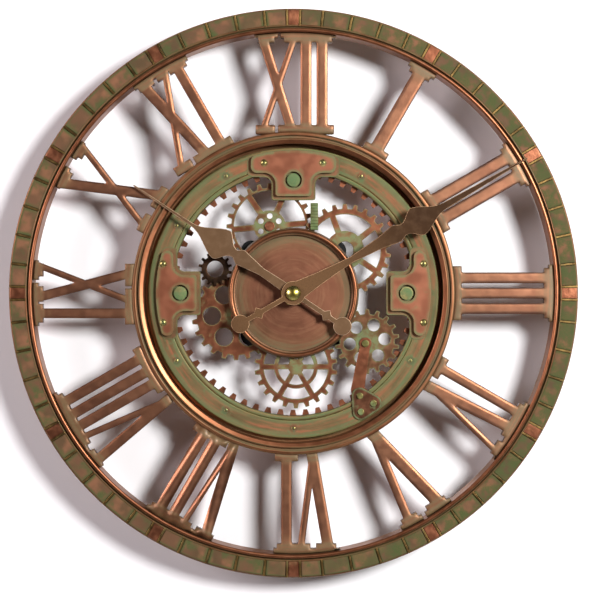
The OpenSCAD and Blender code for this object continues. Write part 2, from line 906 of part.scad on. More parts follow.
// Hanger ------------------------------------------------------------------------------

module hanger_plate() {
    hanger_front = hanger_back + hanger_t;
    color("#a8abb0") difference() {
        union() {
            translate([-16, -hanger_front, hanger_z - 7]) cube([32, hanger_t, 14]);
            for (side = [-1, 1])
                translate([side * 13 - 3, -back_layer, hanger_z - 7]) cube([6, back_layer - hanger_front, 14]);
        }
        pin([0, hanger_z], keyhole_r, hanger_back - 1, hanger_front + 1);
        translate([-keyhole_slot_r, -hanger_front - 1, hanger_z]) cube([2 * keyhole_slot_r, hanger_t + 2, 5]);
    }
}

// Assembly ----------------------------------------------------------------------------

outer_rim();
rim_tiles();
rim_ridges();
hour_markers();
numeral_1();
numeral_2();
numeral_3();
numeral_4();
numeral_5();
numeral_6();
numeral_7();
numeral_8();
numeral_9();
numeral_10();
numeral_11();
numeral_12();
inner_bezel();
ring_plate();
internal_ring_gear();
bracket_top();
bracket_left();
bracket_right();
bracket_bases();
bracket_bosses();
bracket_screws();
ring_screws();
gear_upper_right();
gear_upper_left();
gear_left();
gear_left_small();
gear_lower_right();
wheel_bottom();
gear_rivets();
worm_strip();
lever_arm();
lever_lug();
lever_rivets();
centre_dish();
dish_bezel();
rubber_washer();
mounting_nut();
movement_front_case();
movement_rear_cover();
circuit_board();
drive_coil();
stator();
battery_contacts();
battery_cell();
rotor();
intermediate_wheel();
seconds_wheel();
third_wheel();
centre_wheel();
minute_wheel();
hour_wheel();
setting_knob();
hour_hand();
minute_hand();
hand_nut();
hanger_plate();
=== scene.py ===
"""A copper skeleton wall clock in front of a pale wall, dressed with worn, patinated metals."""

import json
import math

import bpy
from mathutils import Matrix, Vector


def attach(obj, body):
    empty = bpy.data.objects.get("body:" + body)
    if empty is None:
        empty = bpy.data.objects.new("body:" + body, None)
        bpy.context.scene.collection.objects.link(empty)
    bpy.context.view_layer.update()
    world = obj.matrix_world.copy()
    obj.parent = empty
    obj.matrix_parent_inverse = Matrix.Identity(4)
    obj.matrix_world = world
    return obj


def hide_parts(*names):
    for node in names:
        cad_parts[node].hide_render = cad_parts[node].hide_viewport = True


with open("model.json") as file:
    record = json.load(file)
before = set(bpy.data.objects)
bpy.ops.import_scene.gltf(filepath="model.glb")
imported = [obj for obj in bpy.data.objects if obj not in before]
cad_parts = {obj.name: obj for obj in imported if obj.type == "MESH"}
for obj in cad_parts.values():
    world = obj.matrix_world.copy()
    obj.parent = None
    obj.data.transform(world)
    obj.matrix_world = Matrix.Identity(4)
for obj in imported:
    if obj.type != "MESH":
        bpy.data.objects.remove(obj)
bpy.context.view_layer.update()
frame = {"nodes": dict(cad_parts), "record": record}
NODES = frame["nodes"]
SLOTS = {part["node"]: part["material_slot"] for part in frame["record"]["subparts"]}
NUMERALS = [f"numeral_{hour}" for hour in range(1, 13)]
MM = 0.001

# ---------------------------------------------------------------- camera, wall, floor, lights

FACE_Y = -0.022           # the plane of the numerals, which the camera is framed on
CAMERA_DISTANCE = 1.2     # from the camera to that plane
FIELD = 0.3172            # width of the view at that plane
CENTRE_SHIFT = Vector((0.00344, -0.00360))   # centre of the view from the hand axis, x and z
WALL_SIZE = 2.4
WALL_Y = 0.0005           # just behind the rear face of the movement case
FLOOR_SIZE = 8
FLOOR_Z = -1.9
WORLD_TINT = (1, 0.9, 0.93, 1)
WORLD_BEHIND_CAMERA = 0.03
WORLD_ELSEWHERE = 0.06
WORLD_RISE = (-1.0, -0.3)   # the Y of a direction, over which the world rises to its full level


def make_camera():
    """A long lens square to the wall, moved sideways so that the clock sits a little up and left."""
    data = bpy.data.cameras.new("camera")
    data.lens = data.sensor_width * CAMERA_DISTANCE / FIELD
    data.clip_start = 0.05
    camera = bpy.data.objects.new("camera", data)
    camera.location = (CENTRE_SHIFT.x, FACE_Y - CAMERA_DISTANCE, CENTRE_SHIFT.y)
    camera.rotation_euler = (math.radians(90), 0, 0)
    bpy.context.scene.collection.objects.link(camera)
    bpy.context.scene.camera = camera


def sheet(name, size, location, rotation):
    """A plain square sheet of the stage."""
    bpy.ops.mesh.primitive_plane_add(size=size, location=location, rotation=rotation)
    obj = bpy.context.active_object
    obj.name = name
    return obj


def stage_material(name, colour, one_sided):
    """Matt white. A one-sided sheet lets light through and isn't seen from behind."""
    mat = bpy.data.materials.new(name)
    mat.use_nodes = True
    nodes, links = mat.node_tree.nodes, mat.node_tree.links
    shader = nodes["Principled BSDF"]
    shader.inputs["Base Color"].default_value = (*colour, 1)
    shader.inputs["Roughness"].default_value = 0.9
    if one_sided:
        clear = nodes.new("ShaderNodeBsdfTransparent")
        geometry = nodes.new("ShaderNodeNewGeometry")
        path = nodes.new("ShaderNodeLightPath")
        either = nodes.new("ShaderNodeMath")
        either.operation = "MAXIMUM"
        mix = nodes.new("ShaderNodeMixShader")
        links.new(geometry.outputs["Backfacing"], either.inputs[0])
        links.new(path.outputs["Is Shadow Ray"], either.inputs[1])
        links.new(either.outputs[0], mix.inputs["Fac"])
        links.new(shader.outputs[0], mix.inputs[1])
        links.new(clear.outputs[0], mix.inputs[2])
        links.new(mix.outputs[0], nodes["Material Output"].inputs["Surface"])
    return mat


def make_stage():
    """A white wall behind the clock and a pale floor well below it."""
    wall = sheet("wall", WALL_SIZE, (0, WALL_Y, 0), (math.radians(90), 0, 0))
    wall.data.materials.append(stage_material("wall_white", (0.86, 0.855, 0.87), one_sided=True))
    floor = sheet("floor", FLOOR_SIZE, (0, 0, FLOOR_Z), (0, 0, 0))
    floor.data.materials.append(stage_material("floor_pale", (0.8, 0.8, 0.8), one_sided=False))


def area_light(name, location, size, power, colour=(1, 1, 1)):
    """A round lamp aimed at the middle of the clock, size metres wide, with its power in watts."""
    data = bpy.data.lights.new(name, "AREA")
    data.shape = "DISK"
    data.size = size
    data.energy = power
    data.color = colour
    lamp = bpy.data.objects.new(name, data)
    lamp.location = location
    lamp.rotation_euler = (-lamp.location).to_track_quat("-Z", "Y").to_euler()
    bpy.context.scene.collection.objects.link(lamp)


def make_lights():
    """A key from the upper right, a weaker one from the left, and two faint ones behind the wall."""
    area_light("key", (0.74, -1.2, 0.33), 0.4, 30)
    area_light("second", (-1.25, -0.85, 0.3), 0.7, 15, (1, 0.88, 0.91))
    area_light("back_left", (-0.9, 1.3, 0.9), 0.9, 5)
    area_light("back_right", (1.0, 1.2, 0.4), 0.9, 4)
    bpy.context.scene.view_settings.view_transform = "Standard"


def map_range(tree, value, low, high, to_low=0.0, to_high=1.0, interpolation="LINEAR"):
    """Maps value from low..high to to_low..to_high, clamped."""
    node = tree.nodes.new("ShaderNodeMapRange")
    node.interpolation_type = interpolation
    node.inputs["From Min"].default_value = low
    node.inputs["From Max"].default_value = high
    node.inputs["To Min"].default_value = to_low
    node.inputs["To Max"].default_value = to_high
    tree.links.new(value, node.inputs["Value"])
    return node.outputs["Result"]


def make_world():
    """Faint light from all round, fainter still from the room behind the camera."""
    world = bpy.data.worlds.new("studio")
    world.use_nodes = True
    nodes, links = world.node_tree.nodes, world.node_tree.links
    background = nodes["Background"]
    background.inputs["Color"].default_value = WORLD_TINT
    direction = nodes.new("ShaderNodeSeparateXYZ")
    links.new(nodes.new("ShaderNodeTexCoord").outputs["Generated"], direction.inputs[0])
    level = map_range(world.node_tree, direction.outputs["Y"], *WORLD_RISE,
                      WORLD_BEHIND_CAMERA, WORLD_ELSEWHERE)
    links.new(level, background.inputs["Strength"])
    bpy.context.scene.world = world


# ---------------------------------------------------------------- materials

EDGE_SAMPLES = 8           # for hollows and borders, which say where the patina lies and, in hollows, the painted shade
ROUND_SAMPLES = 12         # for edges that look rounded, which the reflections show
NOISE_DETAIL = 4.0
NOISE_ROUGHNESS = 0.55
TILES = 60                 # one for each minute, round the rim
BROAD_MM = 20              # the largest blotches of a metal
FINE_MM = 0.8              # its finest grain
HUB_FADE_MM = 2            # how far a hub's patina fades on each side of its radius
STUD_PATINA_MM = 5         # how far from a stud its patina reaches
STUD_EDGE_MM = 2.4         # where that patina is full and the painted shade round the stud begins
STUD_HOLLOW_MM = 1.8       # where that painted shade is at its darkest
HOLLOW_TONE = 0.25         # painted shade in hollows and on sides, as a share of the dark colour
SIDE_TONE = 0.2
PATINA_METALLIC = 0.15
PATINA_ROUGHNESS = 0.25    # added to the metal's own
RUBBED_POLISH = 0.12       # taken off it where edges are lightened by wear and a painted highlight
COAT_ROUGHNESS = 0.4


def tone(*screen):
    """An 8-bit screen colour as linear light."""
    return tuple(c / 255 / 12.92 if c < 11 else ((c / 255 + 0.055) / 1.055) ** 2.4 for c in screen)


class Graph:
    """Short calls for building one material's node tree, on the clock's own coordinates in metres."""

    def __init__(self, name):
        self.material = bpy.data.materials.new(name)
        self.material.use_nodes = True
        self.tree = self.material.node_tree
        self.shader = self.tree.nodes["Principled BSDF"]
        self.place = self.tree.nodes.new("ShaderNodeTexCoord").outputs["Object"]

    def link(self, source, target):
        self.tree.links.new(source, target)

    def feed(self, socket, value):
        """Sets a socket from another socket or from a plain value."""
        if isinstance(value, bpy.types.NodeSocket):
            self.link(value, socket)
        elif isinstance(value, tuple) and socket.type == "RGBA":
            socket.default_value = (*value, 1)
        else:
            socket.default_value = value

    def math(self, operation, first, second=0.0, clamp=True):
        node = self.tree.nodes.new("ShaderNodeMath")
        node.operation = operation
        node.use_clamp = clamp
        self.feed(node.inputs[0], first)
        self.feed(node.inputs[1], second)
        return node.outputs[0]

    def times(self, first, second, clamp=True):
        return self.math("MULTIPLY", first, second, clamp)

    def most(self, first, second):
        return self.math("MAXIMUM", first, second)

    def vector(self, operation, first, second=(0, 0, 0), scale=1.0, output="Vector"):
        node = self.tree.nodes.new("ShaderNodeVectorMath")
        node.operation = operation
        self.feed(node.inputs[0], first)
        self.feed(node.inputs[1], second)
        self.feed(node.inputs[3], scale)
        return node.outputs[output]

    def split(self, vector):
        """The outputs X, Y and Z of a vector."""
        node = self.tree.nodes.new("ShaderNodeSeparateXYZ")
        self.link(vector, node.inputs[0])
        return node.outputs

    def noise(self, size_mm, detail=NOISE_DETAIL, roughness=NOISE_ROUGHNESS):
        """Cloudy noise, 0 to 1, whose blotches are about size_mm across."""
        return self.noise_at(self.place, 1 / (size_mm * MM), detail, roughness)

    def noise_at(self, place, scale, detail, roughness):
        node = self.tree.nodes.new("ShaderNodeTexNoise")
        self.feed(node.inputs["Scale"], scale)
        self.feed(node.inputs["Detail"], detail)
        self.feed(node.inputs["Roughness"], roughness)
        self.link(place, node.inputs["Vector"])
        return node.outputs["Fac"]

    def flat(self, centre):
        """The place in the plane of the face, from a centre given as (x, z) in millimetres."""
        moved = self.vector("SUBTRACT", self.place, (centre[0] * MM, 0, centre[1] * MM))
        return self.vector("MULTIPLY", moved, (1, 0, 1))

    def radius(self, centre=(0, 0)):
        """Distance in millimetres from an axis along Y."""
        return self.times(self.vector("LENGTH", self.flat(centre), output="Value"), 1 / MM, clamp=False)

    def turns(self, count):
        """The angle clockwise from the top, in parts of which count make a full turn."""
        place = self.split(self.place)
        angle = self.math("ARCTAN2", place["X"], place["Z"], clamp=False)
        return self.times(angle, count / (2 * math.pi), clamp=False)

    def streaks(self, across_mm, along_mm, at_radius):
        """Noise drawn out round the hand axis."""
        heading = self.vector("NORMALIZE", self.flat((0, 0)))
        round_it = self.vector("SCALE", heading, scale=at_radius / along_mm)
        outward = self.tree.nodes.new("ShaderNodeCombineXYZ")
        self.link(self.math("DIVIDE", self.radius(), across_mm, clamp=False), outward.inputs["Y"])
        place = self.vector("ADD", round_it, outward.outputs[0])
        return self.noise_at(place, 1.0, NOISE_DETAIL, NOISE_ROUGHNESS)

    def spread(self, value, low, high, to_low=0.0, to_high=1.0):
        """Maps value from low..high to to_low..to_high, clamped, with soft ends."""
        return map_range(self.tree, value, low, high, to_low, to_high, "SMOOTHSTEP")

    def curve(self, value, points):
        """Level at a distance, eased between (distance, level) points in order."""
        first, last = points[0][0], points[-1][0]
        node = self.tree.nodes.new("ShaderNodeValToRGB")
        node.color_ramp.interpolation = "EASE"
        stops = node.color_ramp.elements
        for index, (distance, level) in enumerate(points):
            at = (distance - first) / (last - first)
            stop = stops[index] if index < 2 else stops.new(at)
            stop.position = at
            stop.color = (level, level, level, 1)
        self.link(map_range(self.tree, value, first, last), node.inputs["Fac"])
        return node.outputs["Color"]

    def blend(self, factor, first, second):
        """Mixes two colours, each a tuple or a socket."""
        node = self.tree.nodes.new("ShaderNodeMix")
        node.data_type = "RGBA"
        self.feed(node.inputs["Factor"], factor)
        self.feed(node.inputs[6], first)
        self.feed(node.inputs[7], second)
        return node.outputs[2]

    def crevice(self, reach_mm):
        """1 in corners and hollows, 0 in the open."""
        node = self.tree.nodes.new("ShaderNodeAmbientOcclusion")
        node.samples = EDGE_SAMPLES
        node.inputs["Distance"].default_value = reach_mm * MM
        return self.math("SUBTRACT", 1.0, node.outputs["AO"])

    def facing(self):
        """1 where a surface faces along Y, 0 where it is square to that."""
        return self.math("ABSOLUTE", self.split(self.tree.nodes["Texture Coordinate"].outputs["Normal"])["Y"])

    def rim(self):
        """1 on the rounded edges of a flat part that faces along Y, 0 on its faces and sides."""
        points = [(0, 0.0), (0.25, 0.0), (0.5, 1.0), (0.85, 1.0), (0.985, 0.0), (1, 0.0)]
        return self.curve(self.facing(), points)

    def side(self):
        """1 on the sides of a flat part that faces along Y, 0 on its faces and rounded edges."""
        return self.spread(self.facing(), 0.5, 0.2)

    def stud(self, count, ring_r):
        """Distance in millimetres from the nearest of an even ring of studs."""
        turns = self.turns(count)
        phase = self.math("SUBTRACT", turns, self.math("ROUND", turns, clamp=False), clamp=False)
        along = self.times(phase, 2 * math.pi * ring_r / count, clamp=False)
        outward = self.math("SUBTRACT", self.radius(), ring_r, clamp=False)
        squares = [self.times(part, part, clamp=False) for part in (along, outward)]
        return self.math("SQRT", self.math("ADD", *squares, clamp=False), clamp=False)

    def rounded_normal(self, radius_mm, samples):
        """The normal as it would be if the edges were rounded to radius_mm."""
        bevel = self.tree.nodes.new("ShaderNodeBevel")
        bevel.samples = samples
        bevel.inputs["Radius"].default_value = radius_mm * MM
        return bevel.outputs["Normal"]

    def border(self, width_mm):
        """1 at the edge of a face, falling to 0 about width_mm in from it."""
        rounded = self.rounded_normal(1.5 * width_mm, EDGE_SAMPLES)
        geometry = self.tree.nodes.new("ShaderNodeNewGeometry")
        dot = self.vector("DOT_PRODUCT", rounded, geometry.outputs["Normal"], output="Value")
        return self.spread(dot, 0.998, 0.9)

    def tile_border(self):
        """1 along the sides of each minute tile of the rim, 0 in its middle."""
        phase = self.math("FRACT", self.turns(TILES))
        off_middle = self.math("ABSOLUTE", self.math("SUBTRACT", phase, 0.5, clamp=False))
        end = self.curve(self.radius(), [(140.5, 1.0), (142.6, 0.1), (147.6, 0.1), (149.6, 1.0)])
        return self.most(self.spread(off_middle, 0.26, 0.46), end)

    def rings(self, points, wander_mm):
        """Level at a radius, from (radius, level) points; wander_mm makes the rings ragged and patchy."""
        if not wander_mm:
            return self.curve(self.radius(), points)
        inner = points[0][0]
        wander = self.times(self.streaks(3, 14, inner), wander_mm, clamp=False)
        nearer = self.math("SUBTRACT", self.radius(), wander_mm / 2, clamp=False)
        ragged = self.math("ADD", nearer, wander, clamp=False)
        patchy = self.spread(self.streaks(1.5, 20, inner), 0.3, 0.6, 0.35, 1.0)
        return self.times(self.curve(ragged, points), patchy)

    def rightward(self, strength):
        """A patchy level that rises to strength across the clock, from left to right."""
        lean = self.spread(self.split(self.place)["X"], -0.09, 0.1, 0, strength)
        return self.times(lean, self.spread(self.noise(6, 4), 0.36, 0.56, 0.1, 1.0))

    def bump(self, layers, round_mm=0):
        """Stacks (height, depth in mm) layers into one bumped normal, over edges rounded to round_mm."""
        normal = self.rounded_normal(round_mm, ROUND_SAMPLES) if round_mm else None
        for height, depth_mm in layers:
            node = self.tree.nodes.new("ShaderNodeBump")
            node.inputs["Strength"].default_value = 1.0
            node.inputs["Distance"].default_value = depth_mm * MM
            self.link(height, node.inputs["Height"])
            if normal:
                self.link(normal, node.inputs["Normal"])
            normal = node.outputs["Normal"]
        self.link(normal, self.shader.inputs["Normal"])


def aged_metal(name, main, dark, light, patina, green=0.5, rough=(0.34, 0.44), metallic=0.94,
               crevice_mm=2.5, patch_bias=0.0, border=None, ring=None, wander_mm=3.0, hub=None, streak=None,
               studs=None, mottle=0.3, lump=0.04, grain=0.015, wear_and_highlight=0.4, edge_tint=None, shade=0.75,
               flank=0.7, blotch=(4, 5), patch=(7, 6), round_mm=0, drift=0.0, gloss=0.5, coat=0.0):
    """Worn metal: a soft mottle, patina in hollows, along borders and in chosen rings, and edges lightened by
    wear; hollows and sides also get painted shade, and the lightened edges are partly a painted highlight.

    main, dark, light and patina are colours; green is how much of the patina shows, and patch_bias makes its
    patches larger; crevice_mm is the size of the hollows that hold it and the painted shade; drift is the
    extra patina on the right-hand side; border is a width in millimetres or "tile"; ring is (radius, level)
    points, which wander_mm makes ragged; hub is (x, z, radius); streak is the width, length and radius of
    light streaks round the hand axis; studs is (count, radius), with patina and painted shade round each
    stud; blotch and patch are the size in millimetres and the detail of the mottle and of the patina; mottle
    is the strength of the light blotches or streaks; lump and grain are the depths in millimetres of the
    coarse and fine bumps;
    wear_and_highlight, shade and flank are the strengths of the lightened edges (partly wear, partly a
    painted highlight), the painted shade in hollows and the painted shade on sides; edge_tint is the colour
    of those lightened edges; round_mm is the radius to which the edges look rounded; rough is the range of
    the roughness; gloss and coat are the strengths of the reflections of the metal and of a lacquer.
    """
    g = Graph(name)
    broad = g.noise(BROAD_MM, 2)
    middle = g.noise(*blotch)
    fine = g.noise(FINE_MM, 3)
    colour = g.blend(g.spread(broad, 0.36, 0.66), main, dark)
    fleck = g.streaks(*streak) if streak else middle
    colour = g.blend(g.spread(fleck, 0.42, 0.7, 0, mottle), colour, light)

    # Hollows hold patina, and further on they are also darkened with painted shade.
    hollow = g.spread(g.crevice(crevice_mm), 0.3, 0.85)
    patches = g.spread(g.noise(*patch, 0.6), 0.56 - patch_bias, 0.76 - patch_bias)
    cover = g.most(hollow, patches)
    if border:
        edge = g.tile_border() if border == "tile" else g.border(border)
        cover = g.most(cover, g.times(edge, g.spread(middle, 0.3, 0.6, 0.4, 1.1)))
    if ring:
        cover = g.most(cover, g.rings(ring, wander_mm))
    if hub:
        *centre, hub_r = hub
        near = g.spread(g.radius(centre), hub_r + HUB_FADE_MM, hub_r - HUB_FADE_MM)
        cover = g.most(cover, g.times(near, g.spread(middle, 0.35, 0.6, 0.3, 1.0)))
    if studs:
        distance = g.stud(*studs)
        near = g.spread(distance, STUD_PATINA_MM, STUD_EDGE_MM)
        cover = g.most(cover, g.times(near, g.spread(middle, 0.35, 0.6)))
        # A ring of painted shade round each stud.
        hollow = g.most(hollow, g.spread(distance, STUD_EDGE_MM, STUD_HOLLOW_MM, 0, 0.6))
    if drift:
        cover = g.most(cover, g.rightward(drift))
    cover = g.times(cover, g.spread(fine, 0.2, 0.6, green * 0.6, green))

    colour = g.blend(cover, colour, patina)
    # Painted shade: hollows darkened towards a share of the dark colour.
    colour = g.blend(g.times(hollow, shade), colour, tuple(HOLLOW_TONE * c for c in dark))
    # Painted shade: the sides of flat parts darkened.
    colour = g.blend(g.times(g.side(), flank), colour, tuple(SIDE_TONE * c for c in dark))
    # Edges lightened, partly by wear and partly as a painted highlight.
    wear_and_highlight_mask = g.times(g.rim(), g.spread(middle, 0.3, 0.6, 0.35 * wear_and_highlight, wear_and_highlight))
    colour = g.blend(wear_and_highlight_mask, colour, edge_tint or light)
    g.link(colour, g.shader.inputs["Base Color"])

    g.link(g.spread(cover, 0, 1, metallic, PATINA_METALLIC), g.shader.inputs["Metallic"])
    roughness = g.math("ADD", g.spread(middle, 0.3, 0.7, *rough), g.times(cover, PATINA_ROUGHNESS))
    g.link(g.math("SUBTRACT", roughness, g.times(wear_and_highlight_mask, RUBBED_POLISH)), g.shader.inputs["Roughness"])
    g.shader.inputs["Specular IOR Level"].default_value = gloss
    g.shader.inputs["Coat Weight"].default_value = coat
    g.shader.inputs["Coat Roughness"].default_value = COAT_ROUGHNESS
    g.bump([(middle, lump), (fine, grain)], round_mm)
    return g.material


def moulded_plastic(name, colour, tint, rough=0.45, grain_mm=0.5, depth=0.02, gloss=0.5):
    """Moulded plastic with a fine texture, slight mottling and lighter rounded edges."""
    g = Graph(name)
    blotch = g.noise(9, 4)
    shade = g.blend(g.spread(blotch, 0.35, 0.7), colour, tint)
    edge_tint = tuple(min(1, c * 1.8 + 0.03) for c in tint)
    shade = g.blend(g.times(g.rim(), 0.35), shade, edge_tint)
    g.link(shade, g.shader.inputs["Base Color"])
    g.link(g.spread(blotch, 0.3, 0.7, rough, rough + 0.12), g.shader.inputs["Roughness"])
    g.shader.inputs["Specular IOR Level"].default_value = gloss
    g.bump([(g.noise(grain_mm, 2), depth)])
    return g.material


# Colours of the patina
OLIVE = tone(86, 80, 44)
GREEN = tone(82, 102, 58)
MINT = tone(84, 112, 70)
GEAR_GREEN = tone(94, 118, 72)

# Metals, each as its main colour, its dark and its light; the light also colours the lightened edges,
# partly a painted highlight, and a share of the dark colours the painted shade
COPPER = (tone(150, 99, 71), tone(136, 87, 61), tone(178, 128, 98))
BEAD = (tone(144, 90, 62), tone(130, 79, 53), tone(178, 126, 95))
BROWN_COPPER = (tone(130, 86, 65), tone(118, 76, 57), tone(150, 108, 81))
RED_COPPER = (tone(138, 84, 60), tone(120, 74, 52), tone(168, 110, 80))
BRACKET = (tone(143, 86, 61), tone(136, 81, 57), tone(168, 108, 78))
DULL_COPPER = (tone(122, 86, 61), tone(106, 72, 50), tone(158, 112, 84))
DARK_COPPER = (tone(104, 66, 47), tone(80, 50, 35), tone(150, 102, 75))
# Copper darkened nearly to black as painted shade, for the small gear that lies in the hour hand's shadow.
SHADED_GEAR_COPPER = (tone(56, 40, 29), tone(42, 30, 21), tone(110, 76, 54))
TILE = (tone(102, 70, 49), tone(82, 62, 40), tone(146, 96, 70))
PLATE = (tone(120, 90, 60), tone(100, 78, 50), tone(160, 90, 64))
GILT = (tone(112, 88, 50), tone(84, 66, 38), tone(176, 144, 86))
SCREW = (tone(118, 112, 66), tone(92, 94, 54), tone(190, 172, 112))
CAP_BRASS = (tone(196, 178, 80), tone(150, 134, 56), tone(240, 230, 160))
# The near-white lights of the two hands are mostly a painted highlight along their edges.
HOUR_BRONZE = (tone(104, 78, 54), tone(99, 74, 51), tone(236, 202, 168))
MINUTE_BRONZE = (tone(58, 38, 22), tone(55, 36, 21), tone(214, 172, 132))

# Rings of patina, as (radius in millimetres, level)
NUMERAL_RING = [(84, 1.0), (88, 0.9), (92, 0.15), (126, 0.0), (130, 0.3), (134, 0.9), (137.5, 1.0)]
RIM_RING = [(137, 0.5), (138, 0.1), (139.2, 0.0), (140, 0.6), (140.4, 1.0), (148.6, 0.9), (150, 0.7)]
BEZEL_RING = [(77, 1.0), (78.6, 0.6), (79.4, 0.05), (80.7, 0.1), (81.4, 0.9), (83.2, 1.0), (83.8, 0.2),
              (85, 0.7)]
HAND_RING = [(0, 0.95), (22, 0.85), (45, 0.5), (62, 0.1), (80, 0.0), (120, 0.0)]
LIP_RING = [(31, 1.0), (31.9, 0.4), (32.4, 0.1), (33.3, 0.2), (34.2, 1.0)]
PLATE_RING = [(64, 1.0), (66.6, 1.0), (68.6, 0.9), (70.8, 0.25), (72.8, 0.3), (75, 0.9), (77, 1.0)]
DISH_RING = [(21, 0.0), (25, 0.25), (28, 0.8), (30, 1.0), (31.4, 0.5), (33, 0.1)]

# The green middles of the gears, as (x, z, radius) in millimetres
GEAR_HUBS = {
    "gear_upper_right": (27.2, 22.8, 12),
    "gear_upper_left": (-12.8, 36.3, 9.5),
    "gear_left": (-30.5, -12.1, 6),
    "gear_lower_right": (39, -25.6, 7),
    "wheel_bottom": (1.3, -29, 14),
}


def slot_materials():
    """The materials of slots that have nodes without a material of their own."""
    return {
        "patina_tile": aged_metal("patina_tile", *TILE, tone(72, 82, 45), green=1.0, rough=(0.6, 0.7),
                                  metallic=0.2, border="tile", patch_bias=0.08, mottle=0.6, lump=0.25,
                                  wear_and_highlight=0.15, shade=0.5, blotch=(9, 2), patch=(12, 3), drift=0.9, gloss=0.25),
        "gilt_ridge": aged_metal("gilt_ridge", *GILT, OLIVE, green=0.7, patch_bias=0.05, lump=0.15),
        "red_copper": aged_metal("red_copper", *RED_COPPER, OLIVE, green=0.6, mottle=0.5, lump=0.15),
        "pale_brass": aged_metal("pale_brass", *SCREW, MINT, green=0.8, patch_bias=0.04, wear_and_highlight=0.9),
        "dark_bronze": aged_metal("dark_bronze", *RED_COPPER, OLIVE, green=0.45, mottle=0.15),
        "brass_nut": aged_metal("brass_nut", *CAP_BRASS, OLIVE, green=0.2, rough=(0.26, 0.34), metallic=1.0,
                                patch_bias=-0.1, mottle=0.1, lump=0.02),
        # The hands' edges are lightened at full strength, mostly as a painted highlight.
        "hour_hand_bronze": aged_metal("hour_hand_bronze", *HOUR_BRONZE, tone(96, 78, 48), green=0.2,
                                       rough=(0.42, 0.46), metallic=0.45, patch_bias=-0.25, mottle=0.03,
                                       lump=0.004, grain=0.006, wear_and_highlight=1.0, gloss=0.2),
        "minute_hand_bronze": aged_metal("minute_hand_bronze", *MINUTE_BRONZE, tone(104, 76, 50), green=1.0,
                                         ring=HAND_RING, wander_mm=0, rough=(0.48, 0.52), metallic=0.45,
                                         patch_bias=-0.25, mottle=0.03, lump=0.004, grain=0.006, wear_and_highlight=1.0,
                                         gloss=0.1),
        "hanger_steel": aged_metal("hanger_steel", (0.42, 0.43, 0.45), (0.36, 0.37, 0.39), (0.7, 0.7, 0.72),
                                   (0.35, 0.33, 0.28), green=0.2),
        "contact_steel": aged_metal("contact_steel", (0.5, 0.5, 0.5), (0.42, 0.42, 0.42), (0.75, 0.75, 0.75),
                                    (0.4, 0.4, 0.36), green=0.15),
        "soft_iron": aged_metal("soft_iron", (0.35, 0.35, 0.36), (0.28, 0.28, 0.29), (0.55, 0.55, 0.56),
                                (0.25, 0.2, 0.15), green=0.25),
        "magnet_grey": aged_metal("magnet_grey", (0.1, 0.1, 0.105), (0.07, 0.07, 0.075), (0.25, 0.25, 0.26),
                                  (0.1, 0.09, 0.08), green=0.2),
        "coil_copper": aged_metal("coil_copper", (0.5, 0.19, 0.07), (0.35, 0.12, 0.04), (0.7, 0.32, 0.14),
                                  (0.3, 0.1, 0.03), green=0.2, rough=(0.2, 0.3)),
        "washer_rubber": moulded_plastic("washer_rubber", (0.02, 0.02, 0.02), (0.035, 0.035, 0.035), 0.75),
        "case_plastic": moulded_plastic("case_plastic", (0.006, 0.006, 0.006), (0.011, 0.011, 0.011), 0.5,
                                        gloss=0.15),
        "board_green": moulded_plastic("board_green", (0.03, 0.16, 0.06), (0.05, 0.22, 0.09), 0.35),
        "cell_jacket": moulded_plastic("cell_jacket", (0.30, 0.19, 0.05), (0.36, 0.24, 0.07), 0.3, 2.0, 0.01),
        "wheel_plastic": moulded_plastic("wheel_plastic", (0.72, 0.72, 0.67), (0.80, 0.80, 0.76), 0.35),
        "knob_plastic": moulded_plastic("knob_plastic", (0.55, 0.55, 0.55), (0.65, 0.65, 0.65), 0.35),
    }


